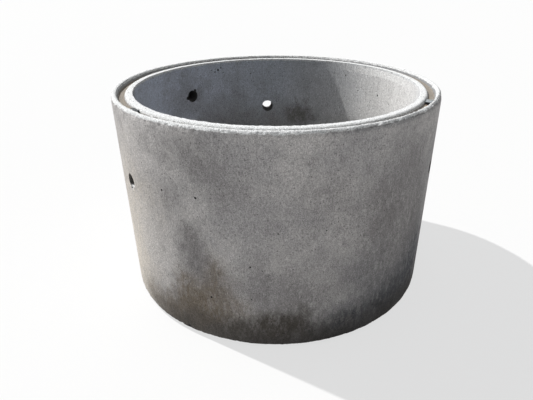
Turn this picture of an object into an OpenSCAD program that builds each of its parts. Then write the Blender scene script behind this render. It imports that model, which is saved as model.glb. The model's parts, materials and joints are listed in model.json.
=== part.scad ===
// Precast concrete chamber ring with a tongue-and-groove joint, standing on its tongue with the groove up.
// The origin is on the ring's axis, on the floor that the tongue stands on, and +Z is up.

/* [Ring] */
// Internal diameter of the chamber
bore_dia = 1050; // [900:10:1500]
// Thickness of the wall
wall = 75; // [70:1:110]
// Depth that one ring adds to the chamber, from the shoulder beside the tongue to the top of the outer lip
ring_depth = 750; // [500:10:1000]
// Rounding of the arrises at the foot of the wall
foot_round = 4; // [2:0.5:6]

/* [Joint] */
// Width of the lip outside the groove, at the top
outer_lip = 19; // [16:0.5:24]
// How far the inner lip stands below the outer one, which leaves a joint to be pointed up from inside
lip_step = 6; // [0:0.5:9]
// Width of the groove at its mouth
groove_width = 31; // [28:0.5:36]
// Depth of the groove below the outer lip
groove_depth = 20; // [17:0.5:28]
// How far the groove's outer side leans in on its way down
outer_draft = 6; // [2:0.5:7]
// How far the groove's inner side leans out on its way down
inner_draft = 8; // [5:0.5:9]
// Rounding of the outer lip's arris on the outside
outer_lip_round = 5; // [2:0.5:6]
// Rounding of the outer lip's arris on the groove side
mouth_round = 2.5; // [1:0.5:4]
// Rounding of the inner lip's arris on the bore side
inner_lip_round = 3; // [2:0.5:6]
// Rounding of the inner lip's arris on the groove side
groove_lip_round = 10; // [5:0.5:11]
// Fillet in the corners of the groove and rounding of the tongue's tip
root_round = 3; // [1:0.5:4]
// Room for sealant on each side of the next ring's tongue
side_gap = 3; // [1:0.5:4]
// Room for sealant under the next ring's tongue
seal_gap = 6; // [3:0.5:8]

/* [Lifting holes] */
// Angle of the back lifting hole, counter-clockwise from +X
lift_turn = 95.2; // [90:0.1:100]
// Angle from one lifting hole to the next
lift_spread = 120; // [115:1:125]
// Distance of the back lifting hole's centre below the top of the outer lip
lift_drop_back = 237; // [200:1:300]
// Distance of the left lifting hole's centre below the top of the outer lip
lift_drop_left = 255; // [200:1:300]
// Distance of the right lifting hole's centre below the top of the outer lip
lift_drop_right = 246; // [200:1:300]
// Diameter of the straight middle of a lifting hole
lift_dia = 46; // [38:1:50]
// Diameter of a lifting hole's mouth in the bore
lift_mouth_dia = 54; // [51:1:60]
// Length of the taper that opens a lifting hole towards the bore
lift_taper = 36; // [25:1:45]
// Diameter of a lifting hole's mouth in the outside of the wall
lift_flare_dia = 52; // [51:0.5:58]
// Length of the flare that opens a lifting hole towards the outside
lift_flare = 8; // [4:1:12]

/* [Wall pocket] */
// Angle of the blind pocket in the bore, counter-clockwise from +X
pocket_turn = 137.9; // [120:0.1:160]
// Distance of the pocket's centre below the top of the outer lip
pocket_drop = 145; // [110:1:170]
// Depth of the pocket
pocket_depth = 50; // [40:1:60]
// Diameter of the pocket's straight inner end
pocket_dia = 46; // [38:1:50]
// Diameter of the pocket's mouth
pocket_mouth_dia = 54; // [51:1:60]
// Length of the taper that opens the pocket towards the bore
pocket_taper = 20; // [12:1:35]

/* [Packers] */
// Angle of the back packer, counter-clockwise from +X
packer_turn_back = 95.2; // [85:0.1:105]
// Angle of the left packer
packer_turn_left = 218; // [205:0.1:230]
// Angle of the right packer
packer_turn_right = 333.5; // [320:0.1:345]
// Length of a packer around the groove
packer_length = 40; // [30:1:60]
// Height of a packer
packer_height = 9; // [7:0.5:12]
// Room between a packer and each side of the groove
packer_gap = 1; // [0.5:0.5:2]
// Bevel around the top of a packer
packer_bevel = 1.5; // [0.5:0.5:2]

/* [Hidden] */
$fn = 96;
// Straight pieces in each rounded corner of an outline
corner_steps = 6;
// Length by which a cut runs past the face that it opens
past = 20;

bore_r = bore_dia / 2;
outer_r = bore_r + wall;
mouth_outer_r = outer_r - outer_lip;
mouth_inner_r = mouth_outer_r - groove_width;
inner_side_height = groove_depth - lip_step;
tongue_height = groove_depth - seal_gap;
shoulder_z = tongue_height;
lip_z = shoulder_z + ring_depth;
inner_lip_z = lip_z - lip_step;
groove_z = lip_z - groove_depth;
middle_r = (bore_r + outer_r) / 2;
lift_drops = [lift_drop_back, lift_drop_left, lift_drop_right];

// Radii of the groove's two sides at a height above its floor
function groove_outer_r(h) = mouth_outer_r - outer_draft * (1 - h / groove_depth);
function groove_inner_r(h) = mouth_inner_r + inner_draft * (1 - h / inner_side_height);

// Radii of the tongue's two sides at a depth below the shoulder
function tongue_outer_r(d) = groove_outer_r(groove_depth - d) - side_gap;
function tongue_inner_r(d) = groove_inner_r(groove_depth - d) + side_gap;

// Points of an arc of radius r that rounds the corner b between a and c
function unit(v) = v / norm(v);
function corner(a, b, c, r) =
    let (u = unit(a - b), v = unit(c - b), half = acos(u * v) / 2)
    let (start = b + u * r / tan(half), middle = b + unit(u + v) * r / sin(half))
    let (from = start - middle, turn = 180 - 2 * half)
    let (side = (u[0] * v[1] - u[1] * v[0]) > 0 ? -1 : 1)
    [for (i = [0:corner_steps]) let (t = side * turn * i / corner_steps)
        middle + [from[0] * cos(t) - from[1] * sin(t), from[0] * sin(t) + from[1] * cos(t)]];

// Outline through corners given as [radius, height, rounding]
function rounded(p) =
    [for (i = [0:len(p) - 1])
        let (a = p[(i + len(p) - 1) % len(p)], b = p[i], c = p[(i + 1) % len(p)])
        each corner([a[0], a[1]], [b[0], b[1]], [c[0], c[1]], b[2])];

// Section of the wall, from the tongue's tip round the outside to the groove and down the bore
function wall_outline() = rounded([
    [tongue_inner_r(tongue_height), 0, root_round],
    [tongue_outer_r(tongue_height), 0, root_round],
    [tongue_outer_r(0), shoulder_z, root_round],
    [outer_r, shoulder_z, foot_round],
    [outer_r, lip_z, outer_lip_round],
    [mouth_outer_r, lip_z, mouth_round],
    [groove_outer_r(0), groove_z, root_round],
    [groove_inner_r(0), groove_z, root_round],
    [mouth_inner_r, inner_lip_z, groove_lip_round],
    [bore_r, inner_lip_z, inner_lip_round],
    [bore_r, shoulder_z, foot_round],
    [tongue_inner_r(0), shoulder_z, root_round]]);

// Turns a cut that is drawn along +Z from the ring's axis out to an angle and a height
module through_wall_at(turn, z) {
    translate([0, 0, z])
        rotate([0, 0, turn])
            rotate([0, 90, 0])
                children();
}

// Cone that opens towards the bore, from dia at a depth of taper to mouth_dia at the face of the bore
module bore_taper(dia, mouth_dia, taper) {
    growth = (mouth_dia - dia) / taper;
    translate([0, 0, bore_r - past])
        cylinder(h = taper + past, d1 = mouth_dia + growth * past, d2 = dia);
}

// Hole for a lifting pin, right through the wall and opened at both ends
module lifting_hole(turn, z) {
    flare_growth = (lift_flare_dia - lift_dia) / lift_flare;
    through_wall_at(turn, z) {
        translate([0, 0, bore_r - past])
            cylinder(h = wall + 2 * past, d = lift_dia);
        bore_taper(lift_dia, lift_mouth_dia, lift_taper);
        translate([0, 0, outer_r - lift_flare])
            cylinder(h = lift_flare + past, d1 = lift_dia, d2 = lift_flare_dia + flare_growth * past);
    }
}

// Blind pocket in the bore
module wall_pocket(turn, z) {
    through_wall_at(turn, z) {
        translate([0, 0, bore_r - past])
            cylinder(h = pocket_depth + past, d = pocket_dia);
        bore_taper(pocket_dia, pocket_mouth_dia, pocket_taper);
    }
}

module concrete_ring() {
    color([0.62, 0.61, 0.59])
        difference() {
            rotate_extrude()
                polygon(wall_outline());
            for (i = [0:len(lift_drops) - 1])
                lifting_hole(lift_turn + i * lift_spread, lip_z - lift_drops[i]);
            wall_pocket(pocket_turn, lip_z - pocket_drop);
        }
}

// Section of a packer: its sides follow the groove's, its foot is cut back clear of the groove's fillets
function packer_outline() =
    let (shoulder = packer_height - packer_bevel)
    [[groove_inner_r(0) + root_round + packer_gap, groove_z],
     [groove_outer_r(0) - root_round - packer_gap, groove_z],
     [groove_outer_r(root_round) - packer_gap, groove_z + root_round],
     [groove_outer_r(shoulder) - packer_gap, groove_z + shoulder],
     [groove_outer_r(packer_height) - packer_gap - packer_bevel, groove_z + packer_height],
     [groove_inner_r(packer_height) + packer_gap + packer_bevel, groove_z + packer_height],
     [groove_inner_r(shoulder) + packer_gap, groove_z + shoulder],
     [groove_inner_r(root_round) + packer_gap, groove_z + root_round]];

// Joint packer that lies in the groove, with its middle at an angle
module joint_packer(turn) {
    spread = 360 * packer_length / (2 * PI * middle_r);
    color([0.10, 0.11, 0.12])
        rotate([0, 0, turn - spread / 2])
            rotate_extrude(angle = spread)
                polygon(packer_outline());
}

concrete_ring();
joint_packer(packer_turn_back);  // joint_packer_back
joint_packer(packer_turn_left);  // joint_packer_left
joint_packer(packer_turn_right);  // joint_packer_right
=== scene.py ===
import json
import math
import random

import bmesh
import bpy
import numpy as np
from mathutils import Matrix, Vector


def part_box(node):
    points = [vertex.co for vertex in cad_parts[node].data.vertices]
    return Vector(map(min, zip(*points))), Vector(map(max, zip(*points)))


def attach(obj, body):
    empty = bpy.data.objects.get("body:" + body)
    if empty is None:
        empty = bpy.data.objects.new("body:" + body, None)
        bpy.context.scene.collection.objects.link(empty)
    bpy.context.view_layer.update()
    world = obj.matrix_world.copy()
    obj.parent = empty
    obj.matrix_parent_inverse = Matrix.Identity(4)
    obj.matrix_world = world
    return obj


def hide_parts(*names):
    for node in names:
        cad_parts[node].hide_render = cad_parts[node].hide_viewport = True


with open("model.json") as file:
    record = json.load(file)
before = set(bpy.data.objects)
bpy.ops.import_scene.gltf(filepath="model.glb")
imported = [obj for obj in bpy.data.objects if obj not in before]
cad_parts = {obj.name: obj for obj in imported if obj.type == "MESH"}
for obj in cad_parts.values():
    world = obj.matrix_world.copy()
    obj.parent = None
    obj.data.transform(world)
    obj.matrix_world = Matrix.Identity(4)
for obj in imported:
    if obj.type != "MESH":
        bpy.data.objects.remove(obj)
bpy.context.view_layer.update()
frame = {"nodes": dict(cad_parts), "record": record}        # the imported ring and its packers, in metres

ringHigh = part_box("concrete_ring")[1]
mounts = {m["name"]: m for m in frame["record"]["mounts"]}
boreR = mounts["chamber_bore"]["dims"]["r_mm"] / 1000
outerR = ringHigh[0] - 0.0004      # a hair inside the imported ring
lipZ = ringHigh[2]
print("frame loaded, bore radius", boreR, "outer radius", outerR, "top", lipZ)


# small helpers for working on one object at a time

def deselectAll():
    if bpy.context.object and bpy.context.object.mode != "OBJECT":
        bpy.ops.object.mode_set(mode="OBJECT")
    bpy.ops.object.select_all(action="DESELECT")


def workOn(obj):
    deselectAll()
    obj.select_set(True)
    bpy.context.view_layer.objects.active = obj


def selectVerts(obj, test):
    bpy.ops.mesh.select_mode(type="VERT")
    mesh = bmesh.from_edit_mesh(obj.data)
    for vert in mesh.verts:
        vert.select_set(bool(test(vert.co)))
    mesh.select_flush_mode()
    bmesh.update_edit_mesh(obj.data)


def selectEdges(obj, test):
    bpy.ops.mesh.select_mode(type="EDGE")
    mesh = bmesh.from_edit_mesh(obj.data)
    for edge in mesh.edges:
        edge.select_set(bool(test(edge.verts[0].co, edge.verts[1].co)))
    bmesh.update_edit_mesh(obj.data)


def selectFaces(obj, test):
    bpy.ops.mesh.select_mode(type="FACE")
    mesh = bmesh.from_edit_mesh(obj.data)
    for face in mesh.faces:
        face.select_set(bool(test(face)))
    bmesh.update_edit_mesh(obj.data)


def applyModifier(obj, modifier):
    workOn(obj)
    bpy.ops.object.modifier_apply(modifier=modifier.name)


def aroundRing(radius, turn, z):
    a = math.radians(turn)
    return Vector((radius * math.cos(a), radius * math.sin(a), z))


# the cast ring

ringShape = {
    "outerLip": 0.019,         # width of the lip outside the groove
    "lipStep": 0.006,          # how far the inner lip stands below the outer one
    "grooveWidth": 0.031,
    "grooveDepth": 0.020,
    "outerDraft": 0.006,       # how far the groove's two sides lean in on their way down
    "innerDraft": 0.008,
    "sideGap": 0.003,          # room beside and under the tongue in the next ring's groove
    "sealGap": 0.006,
    "footRound": 0.004,
    "outerLipRound": 0.010,
    "mouthRound": 0.0025,
    "innerLipRound": 0.002,
    "grooveLipRound": 0.010,
    "rootRound": 0.003,
    "outerFootRows": (0.012, 0.030),          # rows of faces for the wear, above the shoulder
    "innerFootRow": 0.016,
    "outerLipRows": (0.024, 0.0175, 0.0125),  # and below each lip
    "innerLipRows": (0.008, 0.018),
    "tallEdge": 0.5,           # edges of the section that are longer than these get more rows
    "tallRows": 2,
    "wideEdge": 0.0065,
    "wideRows": 3,
    "turns": 1140,             # facets round the ring
    "smoothAngle": 40,         # edges that turn more than this stay sharp, in degrees
}
innerZ = lipZ - ringShape["lipStep"]
floorZ = lipZ - ringShape["grooveDepth"]
mouthOut = outerR - ringShape["outerLip"]
mouthIn = mouthOut - ringShape["grooveWidth"]
shoulderZ = ringShape["grooveDepth"] - ringShape["sealGap"]


def sectionCorners(s):
    depth, gap = s["grooveDepth"], s["sideGap"]

    def grooveOut(h):
        return mouthOut - s["outerDraft"] * (1 - h / depth)

    def grooveIn(h):
        return mouthIn + s["innerDraft"] * (1 - h / (depth - s["lipStep"]))

    # radius, height, rounding, pieces in the rounding
    return [
        (grooveIn(depth - shoulderZ) + gap, 0.0, s["rootRound"], 2),
        (grooveOut(depth - shoulderZ) - gap, 0.0, s["rootRound"], 2),
        (grooveOut(depth) - gap, shoulderZ, s["rootRound"], 2),
        (outerR, shoulderZ, s["footRound"], 3),
        *[(outerR, shoulderZ + up, 0, 0) for up in s["outerFootRows"]],
        *[(outerR, lipZ - down, 0, 0) for down in s["outerLipRows"]],
        (outerR, lipZ, s["outerLipRound"], 5),
        (mouthOut, lipZ, s["mouthRound"], 3),
        (grooveOut(0), floorZ, s["rootRound"], 2),
        (grooveIn(0), floorZ, s["rootRound"], 2),
        (mouthIn, innerZ, s["grooveLipRound"], 6),
        (boreR, innerZ, s["innerLipRound"], 3),
        *[(boreR, innerZ - down, 0, 0) for down in s["innerLipRows"]],
        (boreR, shoulderZ + s["innerFootRow"], 0, 0),
        (boreR, shoulderZ, s["footRound"], 3),
        (grooveIn(depth) + gap, shoulderZ, s["rootRound"], 2),
    ]


def cornerReach(corners, i):
    # how far along its edges a rounding of the stated radius starts
    a, b, c = (Vector(corners[k % len(corners)][:2]) for k in (i - 1, i, i + 1))
    half = (a - b).angle(c - b) / 2
    return corners[i][2] / math.tan(half)


def turnRing(s):
    corners = sectionCorners(s)
    deselectAll()
    bpy.ops.mesh.primitive_plane_add(size=0.01, location=(0, 0, 0))
    ring = bpy.context.object
    ring.name = "concreteRing"
    # the plane shrinks to one point, which is drawn along the wall's section
    bpy.ops.object.mode_set(mode="EDIT")
    bpy.ops.mesh.select_mode(type="VERT")
    bpy.ops.mesh.merge(type="CENTER")
    bpy.ops.transform.translate(value=(corners[0][0], 0, corners[0][1]))
    for here, there in zip(corners, corners[1:]):
        step = (there[0] - here[0], 0, there[1] - here[1])
        bpy.ops.mesh.extrude_region_move(TRANSFORM_OT_translate={"value": step})
    bpy.ops.mesh.select_all(action="SELECT")
    bpy.ops.mesh.edge_face_add()
    # round each corner of the section by itself
    for i, corner in enumerate(corners):
        if corner[2] == 0:
            continue
        spot = Vector((corner[0], 0, corner[1]))
        selectVerts(ring, lambda co: (co - spot).length < 1e-6)
        bpy.ops.mesh.bevel(offset=cornerReach(corners, i), segments=corner[3], affect="VERTICES")
    bpy.ops.mesh.select_all(action="SELECT")
    bpy.ops.mesh.delete(type="ONLY_FACE")
    # a few rows up the walls, and across the lips and the groove
    selectEdges(ring, lambda a, b: abs(a.z - b.z) > s["tallEdge"])
    bpy.ops.mesh.subdivide(number_cuts=s["tallRows"])
    selectEdges(ring, lambda a, b: min(a.z, b.z) > floorZ - 0.001 and (a - b).length > s["wideEdge"])
    bpy.ops.mesh.subdivide(number_cuts=s["wideRows"])
    bpy.ops.mesh.select_all(action="SELECT")
    bpy.ops.mesh.spin(steps=s["turns"], angle=2 * math.pi, center=(0, 0, 0), axis=(0, 0, 1))
    bpy.ops.mesh.select_all(action="SELECT")
    bpy.ops.mesh.remove_doubles(threshold=1e-5)
    bpy.ops.mesh.normals_make_consistent(inside=False)
    bpy.ops.object.mode_set(mode="OBJECT")
    return ring


ring = turnRing(ringShape)
print("ring turned,", len(ring.data.polygons), "faces")


# worn arrises and uneven faces, pushed in from the cast shape

# each kind of wear: its depth, grain and contrast, and the places where it is not felt and fully felt
wear = {
    "lipGrain": {"depth": 0.0011, "grain": 0.006, "contrast": 1.3,
                 "felt": [("height", lipZ - 0.026, lipZ - 0.012)]},
    "lipDips": {"depth": 0.0012, "grain": 0.050, "contrast": 1.0,
                "felt": [("height", lipZ - 0.026, lipZ - 0.008)]},
    "outerCrumble": {"depth": 0.0034, "grain": 0.011, "contrast": 2.4,
                     "felt": [("radius", outerR - 0.009, outerR - 0.002),
                              ("height", lipZ - 0.022, lipZ - 0.004)]},
    "rightWear": {"depth": 0.0095, "grain": 0.026, "contrast": 1.0,
                  "felt": [("radius", outerR - 0.016, outerR - 0.006),
                           ("height", lipZ - 0.0150, lipZ - 0.0095),
                           ("turn", 278.0, 300.0), ("turn", 350.0, 332.0)]},
    "mouthCrumble": {"depth": 0.0035, "grain": 0.012, "contrast": 1.6,
                     "felt": [("radius", mouthOut + 0.008, mouthOut + 0.001),
                              ("radius", mouthOut - 0.006, mouthOut - 0.002),
                              ("height", lipZ - 0.010, lipZ - 0.003)]},
    "innerCrumble": {"depth": 0.0016, "grain": 0.012, "contrast": 1.8,
                     "felt": [("radius", boreR + 0.008, boreR + 0.002),
                              ("height", innerZ - 0.016, innerZ - 0.003)]},
    "footCrumble": {"depth": 0.0022, "grain": 0.018, "contrast": 1.5,
                    "felt": [("height", shoulderZ + 0.020, shoulderZ + 0.003),
                             ("depthInWall", 0.012, 0.003)]},
}
weightSteps = 24               # steps of weight in a vertex group
rubbedZ = lipZ - 0.0002        # grains that stand above this are rubbed flat


def fade(value, low, high):
    t = np.clip((value - low) / (high - low), 0.0, 1.0)
    return t * t * (3 - 2 * t)


def weightGroup(obj, name, felt):
    place = np.empty(3 * len(obj.data.vertices))
    obj.data.vertices.foreach_get("co", place)
    x, y, z = place.reshape(-1, 3).T
    radius = np.hypot(x, y)
    measures = {
        "radius": radius,
        "depthInWall": np.minimum(outerR - radius, radius - boreR),
        "height": z,
        "turn": np.degrees(np.arctan2(y, x)) % 360,
    }
    weight = np.ones(len(radius))
    for measure, none, full in felt:
        weight = weight * fade(measures[measure], none, full)
    levels = np.rint(weightSteps * weight).astype(int)
    group = obj.vertex_groups.new(name=name)
    for level in range(1, weightSteps + 1):
        members = np.flatnonzero(levels == level).tolist()
        if members:
            group.add(members, level / weightSteps, "REPLACE")


def pushIn(obj, name, kind):
    weightGroup(obj, name, kind["felt"])
    texture = bpy.data.textures.new(name + "Texture", "CLOUDS")
    texture.noise_scale = kind["grain"]
    texture.contrast = kind["contrast"]
    texture.noise_depth = 2
    modifier = obj.modifiers.new(name, "DISPLACE")
    modifier.texture = texture
    modifier.texture_coords = "LOCAL"
    modifier.vertex_group = name
    modifier.strength = kind["depth"]
    modifier.mid_level = 1.0
    applyModifier(obj, modifier)


def rubFlat(obj):
    workOn(obj)
    bpy.ops.object.mode_set(mode="EDIT")
    selectVerts(obj, lambda co: co.z > rubbedZ)
    bpy.ops.transform.resize(value=(1, 1, 0), center_override=(0, 0, rubbedZ))
    bpy.ops.object.mode_set(mode="OBJECT")


for wearName, wearKind in wear.items():
    pushIn(ring, wearName, wearKind)
rubFlat(ring)
print("arrises worn")


# short ways to add shader nodes

def nodeOut(tree, kind, ins, out=0, **props):
    node = tree.nodes.new(kind)
    for name, value in props.items():
        setattr(node, name, value)
    for key, value in ins.items():
        if isinstance(value, bpy.types.NodeSocket):
            tree.links.new(value, node.inputs[key])
        else:
            node.inputs[key].default_value = value
    return node.outputs[out]


def calc(tree, operation, a, b=0.0):
    return nodeOut(tree, "ShaderNodeMath", {0: a, 1: b}, operation=operation)


def times(tree, a, b):
    return calc(tree, "MULTIPLY", a, b)


def moved(tree, operation, a, b):
    return nodeOut(tree, "ShaderNodeVectorMath", {0: a, 1: b}, operation=operation)


def noise(tree, vector, scale, detail, rough, out=0):
    # a scale for each axis draws the pattern out
    if isinstance(scale, tuple):
        vector, scale = moved(tree, "MULTIPLY", vector, scale), 1.0
    ins = {"Vector": vector, "Scale": scale, "Detail": detail, "Roughness": rough}
    return nodeOut(tree, "ShaderNodeTexNoise", ins, out=out)


def ease(tree, value, low, high, toLow=0.0, toHigh=1.0):
    ins = {"Value": value, "From Min": low, "From Max": high, "To Min": toLow, "To Max": toHigh}
    return nodeOut(tree, "ShaderNodeMapRange", ins, interpolation_type="SMOOTHSTEP")


def uneven(tree, value, pattern, reach):
    # moves a value up and down by a pattern
    return calc(tree, "ADD", value, times(tree, calc(tree, "SUBTRACT", pattern, 0.5), reach))


def blend(tree, fac, a, b, mode="MIX"):
    return nodeOut(tree, "ShaderNodeMix", {0: fac, 6: a, 7: b}, out=2, data_type="RGBA", blend_type=mode)


def grey(tree, value):
    return nodeOut(tree, "ShaderNodeCombineColor", {0: value, 1: value, 2: value})


def addBump(tree, shader, height, strength, distance):
    ins = {"Height": height, "Strength": strength, "Distance": distance}
    tree.links.new(nodeOut(tree, "ShaderNodeBump", ins), shader.inputs["Normal"])


def startMaterial(name):
    material = bpy.data.materials.new(name)
    material.use_nodes = True
    tree = material.node_tree
    coords = tree.nodes.new("ShaderNodeTexCoord").outputs["Object"]
    return material, tree, coords, tree.nodes["Principled BSDF"]


def axesOf(tree, coords):
    parts = tree.nodes.new("ShaderNodeSeparateXYZ")
    tree.links.new(coords, parts.inputs[0])
    return parts.outputs


def radiusOf(tree, axes):
    flat = calc(tree, "ADD", times(tree, axes["X"], axes["X"]), times(tree, axes["Y"], axes["Y"]))
    return calc(tree, "SQRT", flat)


patchEdge = (1.25, 0.15)       # where a patch ends and where it is full, in half sizes


def patchMask(tree, place, radius, stain):
    turn, z, wide, high, strength = stain
    away = moved(tree, "SUBTRACT", place, aroundRing(radius, turn, z))
    away = moved(tree, "MULTIPLY", away, (1 / wide, 1 / wide, 1 / high))
    reach = nodeOut(tree, "ShaderNodeVectorMath", {0: away}, out=1, operation="LENGTH")
    return ease(tree, reach, *patchEdge, 0.0, strength)


# cast concrete of the ring

concreteLook = {
    "tones": {
        "pale": (0.530, 0.508, 0.496, 1),
        "mid": (0.385, 0.371, 0.370, 1),
        "dark": (0.214, 0.202, 0.200, 1),
        # the lips' tops, pale as painted sunlight
        "rim": (0.72, 0.722, 0.715, 1),
        "rimGrit": (0.36, 0.34, 0.31, 1),
        "sand": (0.255, 0.222, 0.180, 1),
        # grime and painted shade on the groove's sides
        "grooveGrimeAndShade": (0.265, 0.266, 0.270, 1),
        "damp": (0.185, 0.178, 0.170, 1),
        # the bore's grey, with a blue tint that paints sky light in its shade
        "innerWall": (0.425, 0.450, 0.495, 1),
        # the bore's shaded left, paler and bluer as painted sky light
        "innerPaintedSky": (0.585, 0.625, 0.725, 1),
        # the bore's lit right, paler as painted sunlight
        "innerLit": (0.79, 0.772, 0.748, 1),
        "innerLow": (0.22, 0.205, 0.185, 1),
        "laitance": (0.90, 0.888, 0.865, 1),
        # dirt and painted contact shade along the foot
        "foot": (0.075, 0.068, 0.062, 1),
        "beige": (0.63, 0.575, 0.505, 1),
        "brown": (0.185, 0.153, 0.120, 1),
        "umber": (0.060, 0.050, 0.040, 1),
        "slate": (0.075, 0.080, 0.092, 1),
        "rust": (0.26, 0.13, 0.07, 1),
    },
    # scale, detail and roughness of each pattern
    "patterns": {
        "clouds": (4.5, 5.0, 0.6),
        "mottle": (17.0, 6.0, 0.62),
        "runs": ((95.0, 95.0, 5.0), 4.0, 0.6),
        "brushed": ((250.0, 250.0, 110.0), 3.0, 0.6),
        "grain": (350.0, 3.0, 0.72),
        "patches": ((66.0, 66.0, 30.0), 6.0, 0.72),
        "stones": (190.0, 2.0, 0.5),
        "ragged": (75.0, 4.0, 0.65),
        "grit": (230.0, 3.0, 0.6),
        "bumps": (90.0, 4.0, 0.6),
    },
    "wander": (14.0, 5.0, 0.62),           # pattern that breaks up the outlines of stains and painted patches
    "wanderReach": (0.11, 0.11, 0.14),
    # layers of a face: pattern, where in it the layer starts and is full, its share there, its tone
    "castLayers": [("clouds", 0.36, 0.64, 1.0, "pale"), ("mottle", 0.50, 0.72, 0.55, "dark"),
                   ("runs", 0.54, 0.74, 0.25, "dark"), ("runs", 0.45, 0.28, 0.28, "pale")],
    "boreClouds": [("clouds", 0.40, 0.64, 0.48, "dark"), ("mottle", 0.52, 0.72, 0.30, "dark")],
    "boreRuns": [("runs", 0.56, 0.72, 0.14, "dark")],
    "grooveStones": [("stones", 0.50, 0.60, 0.7, "dark")],
    "lipLayers": [("grit", 0.58, 0.70, 0.65, "rimGrit"), ("mottle", 0.55, 0.75, 0.4, "pale")],
    # where each look starts and is full, then its values there if they aren't 0 and 1
    "fades": {
        "inside": (boreR + 0.020, boreR + 0.004),
        "outside": (outerR - 0.030, outerR - 0.010),
        "boreFoot": (0.60, 0.32, 0.0, 0.8),
        "laitance": (innerZ - 0.043, innerZ - 0.035),
        "foot": (0.190, 0.010, 0.0, 0.86),
        "grooveIn": (mouthIn + 0.003, mouthIn + 0.008),
        "grooveOut": (mouthOut + 0.003, mouthOut - 0.001),
        "grooveSides": (lipZ - 0.004, lipZ - 0.009),
        "sandTop": (floorZ + 0.005, floorZ + 0.002),
        "sandBottom": (floorZ - 0.012, floorZ - 0.008),
        "crown": (mouthIn + 0.008, mouthOut - 0.008, innerZ, lipZ),   # top of the lip at each radius
        "rim": (0.0105, 0.0075),                                      # depth below the crown
        "patchy": (0.36, 0.60, 0.58, 1.25),
        "cloudy": (0.0, 0.8, 1.0, 0.30),
        "grainTone": (0.25, 0.75, 0.56, 1.42),
        "brushedTone": (0.25, 0.75, 0.80, 1.19),
        "speck": (0.32, 0.16, 0.0, 0.45),
        "speckChosen": (0.80, 0.82),
        "roughness": (0.3, 0.7, 0.95, 0.8),
    },
    # how far a pattern moves these fades up and down
    "swing": {"boreFoot": 0.16, "laitance": 0.014, "foot": 0.16, "rim": 0.016},
    # where each stain, or patch of painted shade, sits: turn round the ring, height, half width, half
    # height, strength
    "outerStainsAndShade": {
        "beige": [(204.0, 0.120, 0.260, 0.330, 0.85), (214.0, 0.420, 0.240, 0.330, 0.55)],
        "brown": [(240.3, 0.150, 0.085, 0.150, 0.90), (236.0, 0.045, 0.140, 0.110, 0.95),
                  (250.5, 0.240, 0.085, 0.130, 0.85), (246.0, 0.110, 0.140, 0.140, 0.95),
                  (222.0, 0.060, 0.110, 0.080, 0.60), (230.0, 0.055, 0.110, 0.080, 0.50),
                  (258.0, 0.150, 0.080, 0.080, 0.50), (140.0, 0.080, 0.220, 0.120, 0.50)],
        "umber": [(270.0, 0.085, 0.110, 0.110, 0.92), (273.8, 0.131, 0.075, 0.060, 0.70),
                  (258.0, 0.050, 0.150, 0.085, 0.88), (277.0, 0.115, 0.080, 0.080, 0.60),
                  (284.0, 0.040, 0.120, 0.070, 0.80), (60.0, 0.070, 0.260, 0.110, 0.60)],
        "slate": [(293.0, 0.055, 0.140, 0.130, 0.85), (312.0, 0.070, 0.170, 0.180, 0.95),
                  (325.0, 0.150, 0.150, 0.260, 0.85), (302.0, 0.240, 0.120, 0.170, 0.35),
                  (10.0, 0.080, 0.200, 0.140, 0.60)],
        "dark": [(237.0, 0.516, 0.060, 0.070, 0.34), (248.8, 0.639, 0.070, 0.060, 0.40),
                 (243.8, 0.340, 0.060, 0.120, 0.85), (255.0, 0.600, 0.100, 0.090, 0.36),
                 # the wide patches at 312 and 283 degrees are painted shade on the wall's right, which faces
                 # away from the key light
                 (312.0, 0.440, 0.240, 0.340, 0.65), (283.0, 0.450, 0.300, 0.300, 0.28),
                 (272.0, 0.250, 0.260, 0.130, 0.55), (240.0, 0.690, 0.170, 0.070, 0.40),
                 (243.0, 0.392, 0.060, 0.080, 0.55), (305.0, 0.470, 0.100, 0.140, 0.55),
                 (316.0, 0.610, 0.100, 0.080, 0.40), (285.0, 0.560, 0.120, 0.100, 0.30),
                 (278.0, 0.200, 0.150, 0.070, 0.40), (322.0, 0.400, 0.080, 0.160, 0.50)],
        "pale": [(255.9, 0.349, 0.060, 0.110, 0.30), (281.0, 0.290, 0.090, 0.060, 0.25),
                 (226.0, 0.330, 0.110, 0.170, 0.50), (224.0, 0.620, 0.100, 0.080, 0.40),
                 (269.5, 0.305, 0.008, 0.060, 0.75), (300.5, 0.330, 0.006, 0.045, 0.65),
                 (292.0, 0.385, 0.005, 0.035, 0.50)],
    },
    "innerStains": {
        "damp": [(77.1, 0.485, 0.095, 0.062, 1.0), (81.0, 0.480, 0.050, 0.050, 0.6),
                 (80.0, 0.545, 0.014, 0.060, 0.6), (73.5, 0.540, 0.010, 0.050, 0.5),
                 (111.0, 0.452, 0.120, 0.060, 0.35), (135.0, 0.632, 0.036, 0.030, 0.6),
                 (250.0, 0.300, 0.160, 0.140, 0.4)],
    },
    "paintedSunRight": (18.0, 0.55, 0.56, 0.70, 1.0),       # painted sunlight: paler wall on the lit right of the bore
    "paintedSkyLeft": (160.0, 0.64, 0.48, 0.40, 0.80),         # painted blue sky light: paler, bluer wall on the bore's shaded left
    "laitance": (30.0, innerZ, 0.26, 0.60, 1.0),     # bright cement skin under the inner lip
    "cleanFoot": (203.0, 0.020, 0.300, 0.260, 0.85),
    "debris": (331.2, floorZ, 0.013, 0.02, 0.9),     # rusty crumbs in the groove
    "debrisR": mouthOut - 0.012,
    "speckScale": 105.0,
    "specular": 0.3,
    "grainInBump": 0.5,
    "bump": (0.9, 0.0016),                           # strength and distance
}


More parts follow.
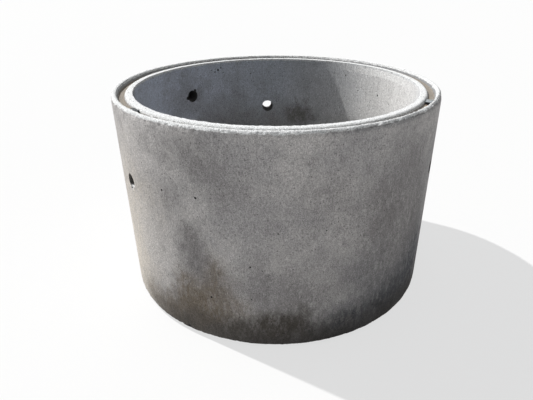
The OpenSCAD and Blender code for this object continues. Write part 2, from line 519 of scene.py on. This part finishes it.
def concretePatterns(tree, coords, look):
    at = {name: noise(tree, coords, *kind) for name, kind in look["patterns"].items()}
    axes = axesOf(tree, coords)
    at["coords"] = coords
    at["z"] = axes["Z"]
    at["radius"] = radiusOf(tree, axes)
    at["patchy"] = ease(tree, at["patches"], *look["fades"]["patchy"])
    wander = moved(tree, "SUBTRACT", noise(tree, coords, *look["wander"], out=1), (0.5, 0.5, 0.5))
    at["place"] = moved(tree, "ADD", coords, moved(tree, "MULTIPLY", wander, look["wanderReach"]))
    return at


def addLayers(tree, colour, layers, look, at, limit=1.0):
    for pattern, start, full, share, tone in layers:
        mask = times(tree, ease(tree, at[pattern], start, full, 0.0, share), limit)
        colour = blend(tree, mask, colour, look["tones"][tone])
    return colour


def addPatches(tree, colour, stains, radius, look, at, limit):
    for tone in stains:
        for stain in stains[tone]:
            mask = times(tree, patchMask(tree, at["place"], radius, stain), limit)
            colour = blend(tree, mask, colour, look["tones"][tone])
    return colour


def boreWall(tree, look, at):
    tones, fades, swing = look["tones"], look["fades"], look["swing"]
    # painted sunlight: the lit right of the bore is paler and carries fewer dark clouds
    paintedSunRight = patchMask(tree, at["place"], boreR, look["paintedSunRight"])
    colour = blend(tree, paintedSunRight, tones["innerWall"], tones["innerLit"])
    # painted blue sky light: the shaded left of the bore is paler and bluer
    paintedSkyLeft = patchMask(tree, at["place"], boreR, look["paintedSkyLeft"])
    colour = blend(tree, paintedSkyLeft, colour, tones["innerPaintedSky"])
    cloudy = ease(tree, paintedSunRight, *fades["cloudy"])
    colour = addLayers(tree, colour, look["boreClouds"], look, at, cloudy)
    colour = addLayers(tree, colour, look["boreRuns"], look, at)
    # darker towards the foot
    height = uneven(tree, at["z"], at["mottle"], swing["boreFoot"])
    colour = blend(tree, ease(tree, height, *fades["boreFoot"]), colour, tones["innerLow"])
    colour = addPatches(tree, colour, look["innerStains"], boreR, look, at, at["patchy"])
    # bright skin under the lip
    height = uneven(tree, at["z"], at["mottle"], swing["laitance"])
    skin = times(tree, ease(tree, height, *fades["laitance"]),
                 patchMask(tree, at["place"], boreR, look["laitance"]))
    return blend(tree, skin, colour, tones["laitance"])


# stains and painted shade on the outer wall, then the darkening along the foot
def stainedAndShadedWall(tree, colour, look, at):
    outside = ease(tree, at["radius"], *look["fades"]["outside"])
    limit = times(tree, outside, at["patchy"])
    colour = addPatches(tree, colour, look["outerStainsAndShade"], outerR, look, at, limit)
    # dirt and painted contact shade along the foot, but for a clean stretch
    height = uneven(tree, at["z"], at["mottle"], look["swing"]["foot"])
    clean = patchMask(tree, at["place"], outerR, look["cleanFoot"])
    footDirtAndShade = times(tree, ease(tree, height, *look["fades"]["foot"]), calc(tree, "SUBTRACT", 1.0, clean))
    return blend(tree, footDirtAndShade, colour, look["tones"]["foot"])


def grooveShadeGrimeAndSand(tree, colour, look, at):
    tones, fades = look["tones"], look["fades"]
    across = times(tree, ease(tree, at["radius"], *fades["grooveIn"]),
                   ease(tree, at["radius"], *fades["grooveOut"]))
    # grime and painted shade darken the groove's sides
    sides = times(tree, across, ease(tree, at["z"], *fades["grooveSides"]))
    colour = blend(tree, sides, colour, tones["grooveGrimeAndShade"])
    floor = times(tree, ease(tree, at["z"], *fades["sandTop"]), ease(tree, at["z"], *fades["sandBottom"]))
    floor = times(tree, floor, across)
    sand = addLayers(tree, tones["sand"], look["grooveStones"], look, at)
    colour = blend(tree, floor, colour, sand)
    debris = patchMask(tree, at["place"], look["debrisR"], look["debris"])
    return blend(tree, times(tree, debris, floor), colour, tones["rust"])


# the lips' pale tone is painted sunlight on their tops, run raggedly down the arrises; the grit and mottle
# on it are the concrete's own
def paleLipsPaintedLight(tree, colour, look, at):
    crown = ease(tree, at["radius"], *look["fades"]["crown"])
    below = uneven(tree, calc(tree, "SUBTRACT", crown, at["z"]), at["ragged"], look["swing"]["rim"])
    lips = addLayers(tree, look["tones"]["rim"], look["lipLayers"], look, at)
    return blend(tree, ease(tree, below, *look["fades"]["rim"]), colour, lips)


def sandyTone(tree, look, at):
    fades = look["fades"]
    tone = times(tree, ease(tree, at["grain"], *fades["grainTone"]),
                 ease(tree, at["brushed"], *fades["brushedTone"]))
    # a few of the cells are dark specks
    away = nodeOut(tree, "ShaderNodeTexVoronoi", {"Vector": at["coords"], "Scale": look["speckScale"]})
    cellColour = away.node.outputs["Color"]
    chosen = ease(tree, nodeOut(tree, "ShaderNodeSeparateColor", {0: cellColour}), *fades["speckChosen"])
    speck = times(tree, ease(tree, away, *fades["speck"]), chosen)
    return times(tree, tone, calc(tree, "SUBTRACT", 1.0, speck))


def concreteMaterial(look):
    material, tree, coords, shader = startMaterial("castConcrete")
    at = concretePatterns(tree, coords, look)
    colour = addLayers(tree, look["tones"]["mid"], look["castLayers"], look, at)
    inside = ease(tree, at["radius"], *look["fades"]["inside"])
    colour = blend(tree, inside, colour, boreWall(tree, look, at))
    colour = stainedAndShadedWall(tree, colour, look, at)
    colour = grooveShadeGrimeAndSand(tree, colour, look, at)
    colour = paleLipsPaintedLight(tree, colour, look, at)
    colour = blend(tree, 1.0, colour, grey(tree, sandyTone(tree, look, at)), mode="MULTIPLY")
    tree.links.new(colour, shader.inputs["Base Color"])
    tree.links.new(ease(tree, at["mottle"], *look["fades"]["roughness"]), shader.inputs["Roughness"])
    shader.inputs["Specular IOR Level"].default_value = look["specular"]
    height = calc(tree, "ADD", times(tree, at["grain"], look["grainInBump"]), at["bumps"])
    addBump(tree, shader, height, *look["bump"])
    return material


# broken concrete in chips and holes, with painted shade in the holes and lower breaks, and the pocket and
# the pits painted dark all over as shade

brokenLook = {
    "paintedHollowShade": (0.075, 0.070, 0.066, 1),
    "fresh": (0.56, 0.54, 0.51, 1),
    "grit": (0.24, 0.225, 0.205, 1),
    "paintedSunPatch": (0.95, 0.94, 0.92, 1),
    "paintedSunPatchSpot": (215.0, 0.484, 0.016, 0.014, 1.0),   # painted sunlight on the broken edge of the left lifting hole
    "paintedSunPatchR": outerR - 0.006,
    "freshFade": (lipZ - 0.030, lipZ - 0.018),
    "gritPattern": (260.0, 4.0, 0.65),
    "gritFade": (0.45, 0.65, 0.0, 0.6),
    "roughness": 0.95,
    "bump": (0.8, 0.002),
}
# the pocket and the pits: painted shade in their hollows
pocketLook = {
    **brokenLook,
    "paintedHollowShade": (0.050, 0.047, 0.045, 1),
    "fresh": (0.050, 0.047, 0.045, 1),
    "grit": (0.085, 0.080, 0.075, 1),
    "paintedSunPatchSpot": None,
}


def brokenMaterial(name, look):
    material, tree, coords, shader = startMaterial(name)
    grit = noise(tree, coords, *look["gritPattern"])
    # painted shade low down, fresh broken concrete near the lips
    fresh = ease(tree, axesOf(tree, coords)["Z"], *look["freshFade"])
    colour = blend(tree, fresh, look["paintedHollowShade"], look["fresh"])
    colour = blend(tree, ease(tree, grit, *look["gritFade"]), colour, look["grit"])
    # a painted patch of sunlight on the broken edge
    if look["paintedSunPatchSpot"]:
        paintedSunPatch = patchMask(tree, coords, look["paintedSunPatchR"], look["paintedSunPatchSpot"])
        colour = blend(tree, paintedSunPatch, colour, look["paintedSunPatch"])
    tree.links.new(colour, shader.inputs["Base Color"])
    shader.inputs["Roughness"].default_value = look["roughness"]
    addBump(tree, shader, grit, *look["bump"])
    return material


# dusty plastic of the packers, cleaner on the left of the ring

packerLook = {
    "colour": (0.016, 0.018, 0.021, 1),
    "dust": (0.27, 0.29, 0.31, 1),
    "moss": (0.20, 0.21, 0.17, 1),
    "height": 0.009,
    "topFade": (-0.0016, -0.0006),         # from the top of a packer
    "dustPattern": (170.0, 5.0, 0.65),
    "mossPattern": (30.0, 3.0, 0.6),
    "mossFade": (0.4, 0.6),
    "wipedFade": (0.55, 0.68, 0.0, 0.8),
    "cleanFade": (0.2, -0.2, 0.0, 0.92),   # across the ring, from right to left
    "roughness": (0.4, 0.7, 0.45, 0.8),
    "specular": 0.3,
    "bump": (0.3, 0.0006),
}


def packerMaterial(look):
    material, tree, coords, shader = startMaterial("packerPlastic")
    axes = axesOf(tree, coords)
    dust = noise(tree, coords, *look["dustPattern"])
    moss = ease(tree, noise(tree, coords, *look["mossPattern"]), *look["mossFade"])
    film = blend(tree, moss, look["dust"], look["moss"])
    film = blend(tree, ease(tree, dust, *look["wipedFade"]), film, look["colour"])
    film = blend(tree, ease(tree, axes["X"], *look["cleanFade"]), film, look["colour"])
    top = ease(tree, axes["Z"], *[floorZ + look["height"] + z for z in look["topFade"]])
    colour = blend(tree, top, look["colour"], film)
    tree.links.new(colour, shader.inputs["Base Color"])
    tree.links.new(ease(tree, dust, *look["roughness"]), shader.inputs["Roughness"])
    shader.inputs["Specular IOR Level"].default_value = look["specular"]
    addBump(tree, shader, dust, *look["bump"])
    return material


def dress(obj, material):
    obj.data.materials.clear()
    obj.data.materials.append(material)


castConcrete = concreteMaterial(concreteLook)
brokenConcrete = brokenMaterial("brokenConcrete", brokenLook)
pocketConcrete = brokenMaterial("pocketConcrete", pocketLook)
packerPlastic = packerMaterial(packerLook)
dress(ring, castConcrete)
for nodeName, nodeObject in frame["nodes"].items():
    if nodeName.startswith("joint_packer"):
        dress(nodeObject, packerPlastic)
print("materials set")


# holes through the wall and the blind pocket, with rough sides

liftingHole = {"holeR": 0.023, "mouthR": 0.027, "taper": 0.036, "flareR": 0.026, "flare": 0.008}
wallPocket = {"holeR": 0.023, "mouthR": 0.027, "taper": 0.020, "depth": 0.050}
holeFinish = {
    "past": 0.02,              # how far a cut runs past the face that it opens
    "sides": 48,
    "rows": 5,                 # rows added along each stretch of a hole's side
    "longEdge": 0.006,
    "rough": 0.0011,
}


def openEnd(cutter, direction, holeR, endR, length, faceZ):
    # draws the cutter's end out past a face of the wall, as a cone that has endR at the face
    past = holeFinish["past"]
    selectFaces(cutter, lambda face: face.normal.z * direction > 0.9)
    step = (0, 0, direction * (length + past))
    bpy.ops.mesh.extrude_region_move(TRANSFORM_OT_translate={"value": step})
    wide = (endR + (endR - holeR) / length * past) / holeR
    bpy.ops.transform.resize(value=(wide, wide, 1), center_override=(0, 0, faceZ + direction * past))


def holeCutter(name, holeR, mouthR, taper, flareR=0.0, flare=0.0, depth=0.0):
    x, y, z = mounts[name]["pos_m"]
    low = boreR + taper
    high = boreR + depth if depth else outerR - flare
    deselectAll()
    bpy.ops.mesh.primitive_cylinder_add(vertices=holeFinish["sides"], radius=holeR, depth=high - low,
                                        location=(0, 0, 0))
    cutter = bpy.context.object
    bpy.ops.object.mode_set(mode="EDIT")
    bpy.ops.mesh.select_all(action="SELECT")
    bpy.ops.transform.translate(value=(0, 0, (low + high) / 2))
    openEnd(cutter, -1, holeR, mouthR, taper, boreR)
    if not depth:
        openEnd(cutter, 1, holeR, flareR, flare, outerR)
    selectEdges(cutter, lambda a, b: abs(a.z - b.z) > holeFinish["longEdge"])
    bpy.ops.mesh.subdivide(number_cuts=holeFinish["rows"])
    bpy.ops.mesh.select_all(action="SELECT")
    bpy.ops.transform.vertex_random(offset=holeFinish["rough"], seed=len(name))
    bpy.ops.object.mode_set(mode="OBJECT")
    # the cutter was drawn along z, and is laid along the hole
    cutter.matrix_world = (Matrix.Translation((0, 0, z)) @ Matrix.Rotation(math.atan2(y, x), 4, "Z")
                           @ Matrix.Rotation(math.pi / 2, 4, "Y"))
    bpy.ops.object.transform_apply(location=True, rotation=True, scale=True)
    dress(cutter, pocketConcrete if depth else brokenConcrete)
    return cutter


def cutAway(obj, tools):
    workOn(tools[0])
    for tool in tools:
        tool.select_set(True)
    bpy.ops.object.join()
    tool = bpy.context.object
    modifier = obj.modifiers.new("cut", "BOOLEAN")
    modifier.operation = "DIFFERENCE"
    modifier.solver = "MANIFOLD"
    modifier.material_mode = "TRANSFER"
    modifier.object = tool
    applyModifier(obj, modifier)
    bpy.data.objects.remove(tool, do_unlink=True)


holeNames = ("lifting_hole_back", "lifting_hole_left", "lifting_hole_right")
holeCutters = [holeCutter(name, **liftingHole) for name in holeNames]
holeCutters.append(holeCutter("wall_pocket", **wallPocket))
cutAway(ring, holeCutters)
print("holes cut,", len(ring.data.polygons), "faces")


# chips, pits and a crack

pocketZ = mounts["wall_pocket"]["pos_m"][2]
damage = {
    "seed": 11,
    # chips along an arris: radius and height, least and most degrees from one to the next, and
    # least and most half sizes along the arris, outwards and upwards
    "chips": [
        (outerR + 0.001, lipZ + 0.001, (2.6, 6.5), (0.004, 0.012), (0.004, 0.009), (0.004, 0.008)),
        (boreR - 0.001, innerZ + 0.001, (6.0, 20.0), (0.003, 0.010), (0.003, 0.007), (0.003, 0.006)),
        (mouthOut, lipZ + 0.002, (9.0, 24.0), (0.003, 0.008), (0.003, 0.006), (0.004, 0.007)),
        (outerR + 0.001, shoulderZ - 0.001, (14.0, 40.0), (0.004, 0.014), (0.004, 0.008), (0.005, 0.012)),
    ],
    # larger breaks: kind, radius, turn, height and half sizes
    "breaks": [
        ("pit", outerR + 0.001, 238.7, shoulderZ + 0.010, (0.008, 0.006, 0.008)),
        ("chip", outerR + 0.001, 215.0, 0.484, (0.010, 0.008, 0.009)),
        ("pit", boreR - 0.001, 140.9, pocketZ - 0.004, (0.010, 0.008, 0.009)),
        ("pit", boreR - 0.001, 136.2, pocketZ + 0.024, (0.007, 0.006, 0.007)),
    ],
    # pits that show plainly: turn, height, radius
    "plainOuterPits": [(233.9, 0.541, 0.0036), (246.4, 0.546, 0.0042), (248.8, 0.188, 0.0038),
                       (270.2, 0.452, 0.0022), (284.0, 0.452, 0.0026), (262.0, 0.205, 0.0024)],
    "plainInnerPits": [(121.9, 0.719, 0.0050), (120.2, 0.728, 0.0034), (123.6, 0.712, 0.0032),
                       (119.0, 0.706, 0.0030), (125.5, 0.722, 0.0026), (104.0, 0.690, 0.0030),
                       (44.0, 0.640, 0.0032), (31.0, 0.640, 0.0036), (36.0, 0.600, 0.0024),
                       (22.0, 0.620, 0.0026), (52.0, 0.700, 0.0032)],
    "firstPit": (262.0, 0.330, 0.003),
    "outerPits": 170,                # number of small pits in each wall and in the lips
    "innerPits": 150,
    "lipPits": 70,
    "pitLow": 0.06,                  # lowest place of a small pit, and how far it stays below a lip
    "pitBelowLip": 0.03,
    "pitR": (0.0008, 0.0022),
    "pitStretch": (0.8, 1.3),
    "lipPitR": (0.0010, 0.0026),
    "lipPitStretch": 1.5,
    "lipPitSunk": 0.002,
    "lipPitRoom": (0.005, 0.006),    # from the inner and the outer arris of a lip
    "apart": 1.5,                    # least distance between two pieces, in half sizes
    "finePiece": 0.003,              # smaller pieces have fewer faces
    "rough": 0.0009,
    "crackTurn": 337.0,
    "crackSize": (0.0018, 0.018),    # width and height
    "crackEnds": (boreR - 0.004, mouthIn + 0.006),
    "crackLean": (0.12, 0.15),       # off upright and off the radius, radians
}


def wallPits(d, pick):
    pits = [(outerR, *pit) for pit in d["plainOuterPits"]] + [(boreR, *pit) for pit in d["plainInnerPits"]]
    for radius, top, count in ((outerR, lipZ, d["outerPits"]), (boreR, innerZ, d["innerPits"])):
        for i in range(count):
            turn = pick.uniform(0, 360)
            z = pick.uniform(d["pitLow"], top - d["pitBelowLip"])
            pits.append((radius, turn, z, pick.uniform(*d["pitR"])))
    return pits


def damageSpots(d):
    # kind, place, turn and half sizes (along the arris, outwards, upwards) of each piece that is knocked out
    pick = random.Random(d["seed"])
    spots = []
    for radius, z, gaps, length, depth, height in d["chips"]:
        turn = pick.uniform(0, gaps[0])
        while turn < 360 - gaps[0]:
            sizes = (pick.uniform(*length), pick.uniform(*depth), pick.uniform(*height))
            spots.append(("chip", aroundRing(radius, turn, z), turn, sizes))
            turn += pick.uniform(*gaps)
    for kind, radius, turn, z, sizes in d["breaks"]:
        spots.append((kind, aroundRing(radius, turn, z), turn, sizes))
    for radius, turn, z, r in wallPits(d, pick):
        spots.append(("pit", aroundRing(radius, turn, z), turn, (r, r, r * pick.uniform(*d["pitStretch"]))))
    inRoom, outRoom = d["lipPitRoom"]
    for i in range(d["lipPits"]):
        turn, r = pick.uniform(0, 360), pick.uniform(*d["lipPitR"])
        if pick.random() < 0.5:
            low, high, top = mouthOut + inRoom, outerR - outRoom, lipZ
        else:
            low, high, top = boreR + inRoom, mouthIn - outRoom, innerZ
        place = aroundRing(pick.uniform(low, high), turn, top - d["lipPitSunk"])
        spots.append(("pit", place, turn, (r, r, d["lipPitStretch"] * r)))
    # pieces that would run into one another are left out
    kept = []
    for spot in spots:
        if all((spot[1] - other[1]).length > d["apart"] * (max(spot[3]) + max(other[3])) for other in kept):
            kept.append(spot)
    return kept


def addLumps(cutter, d, spots, wanted):
    workOn(cutter)
    bpy.ops.object.transform_apply(location=True, rotation=True, scale=True)
    bpy.ops.object.mode_set(mode="EDIT")
    for kind, place, turn, sizes in spots:
        if kind == wanted:
            fineness = 2 if max(sizes) > d["finePiece"] else 1
            bpy.ops.mesh.primitive_ico_sphere_add(subdivisions=fineness, radius=1, location=place,
                                                  rotation=(0, 0, math.radians(turn)),
                                                  scale=(sizes[1], sizes[0], sizes[2]))
    bpy.ops.mesh.select_all(action="SELECT")
    bpy.ops.transform.vertex_random(offset=d["rough"], seed=d["seed"])
    bpy.ops.object.mode_set(mode="OBJECT")


def damageCutters(d):
    spots = damageSpots(d)
    inner, outer = d["crackEnds"]
    upright, across = d["crackLean"]
    # the crack is the first piece among the chips
    deselectAll()
    bpy.ops.mesh.primitive_cube_add(size=1, location=aroundRing((inner + outer) / 2, d["crackTurn"], innerZ),
                                    rotation=(upright, 0, math.radians(d["crackTurn"]) + across),
                                    scale=(outer - inner, *d["crackSize"]))
    chips = bpy.context.object
    addLumps(chips, d, spots, "chip")
    dress(chips, brokenConcrete)
    turn, z, r = d["firstPit"]
    deselectAll()
    bpy.ops.mesh.primitive_ico_sphere_add(subdivisions=2, radius=r, location=aroundRing(outerR, turn, z))
    pits = bpy.context.object
    addLumps(pits, d, spots, "pit")
    dress(pits, pocketConcrete)
    return [chips, pits]


cutAway(ring, damageCutters(damage))
workOn(ring)
bpy.ops.object.shade_smooth_by_angle(angle=math.radians(ringShape["smoothAngle"]))
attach(ring, "root")
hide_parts("concrete_ring")
print("damage cut,", sum(len(face.vertices) - 2 for face in ring.data.polygons), "triangles")


# floor, light and camera

stage = {
    "floorSize": 400.0,
    "floorColour": (0.70, 0.695, 0.685, 1),
    "floorRoughness": 0.9,
    "floorSpecular": 0.1,
    "shadowShare": 0.32,      # how much of the floor's own shading the camera sees
    "keyTurn": 150.0,         # where the key light stands round the ring, in degrees
    "keyRise": 51.0,
    "keyAway": 5.0,
    "keyAngle": 0.8,          # how wide it looks, in degrees
    "keyStrength": 4.55,
    "skyColour": (0.90, 0.95, 1.0, 1),
    "skyStrength": 0.23,
    "white": (1, 1, 1, 1),    # what the camera sees beyond the shadow
}
view = {
    "place": (0.0, -1.72202, 1.13852),
    "pan": 0.01073,           # turned to the right, radians
    "tilt": 0.47330,          # tipped down
    "lens": 30.2958,
    "shift": (-0.02835, 0.0),
    "farthest": 1000,
}


def seenRays(tree):
    path = tree.nodes.new("ShaderNodeLightPath")
    seen = calc(tree, "MAXIMUM", path.outputs["Is Camera Ray"], path.outputs["Is Glossy Ray"])
    return calc(tree, "MAXIMUM", seen, path.outputs["Is Transmission Ray"])


def makeFloor(s):
    deselectAll()
    bpy.ops.mesh.primitive_plane_add(size=s["floorSize"], location=(0, 0, 0))
    floor = bpy.context.object
    floor.name = "studioFloor"
    material, tree, coords, shader = startMaterial("paleFloor")
    shader.inputs["Base Color"].default_value = s["floorColour"]
    shader.inputs["Roughness"].default_value = s["floorRoughness"]
    shader.inputs["Specular IOR Level"].default_value = s["floorSpecular"]
    white = nodeOut(tree, "ShaderNodeEmission", {"Color": s["white"], "Strength": 1.0})
    share = times(tree, seenRays(tree), 1 - s["shadowShare"])
    both = nodeOut(tree, "ShaderNodeMixShader", {0: share, 1: shader.outputs[0], 2: white})
    tree.links.new(both, tree.nodes["Material Output"].inputs["Surface"])
    dress(floor, material)


def lightStage(s):
    a, e = math.radians(s["keyTurn"]), math.radians(s["keyRise"])
    place = s["keyAway"] * Vector((math.cos(a) * math.cos(e), math.sin(a) * math.cos(e), math.sin(e)))
    deselectAll()
    bpy.ops.object.light_add(type="SUN", location=place)
    key = bpy.context.object
    key.name = "keyLight"
    key.data.angle = math.radians(s["keyAngle"])
    key.data.energy = s["keyStrength"]
    key.rotation_euler = (-place).to_track_quat("-Z", "Y").to_euler()
    world = bpy.data.worlds.new("studioSky")
    bpy.context.scene.world = world
    world.use_nodes = True
    tree = world.node_tree
    sky = tree.nodes["Background"]
    sky.inputs["Color"].default_value = s["skyColour"]
    sky.inputs["Strength"].default_value = s["skyStrength"]
    white = nodeOut(tree, "ShaderNodeBackground", {"Color": s["white"], "Strength": 1.0})
    both = nodeOut(tree, "ShaderNodeMixShader", {0: seenRays(tree), 1: sky.outputs[0], 2: white})
    tree.links.new(both, tree.nodes["World Output"].inputs["Surface"])


def placeCamera(v):
    deselectAll()
    bpy.ops.object.camera_add(location=v["place"], rotation=(math.pi / 2 - v["tilt"], 0, -v["pan"]))
    camera = bpy.context.object
    camera.data.sensor_fit = "HORIZONTAL"
    camera.data.lens = v["lens"]
    camera.data.shift_x, camera.data.shift_y = v["shift"]
    camera.data.clip_end = v["farthest"]
    bpy.context.scene.camera = camera


makeFloor(stage)
lightStage(stage)
placeCamera(view)
bpy.context.scene.view_settings.view_transform = "Standard"
print("stage set")
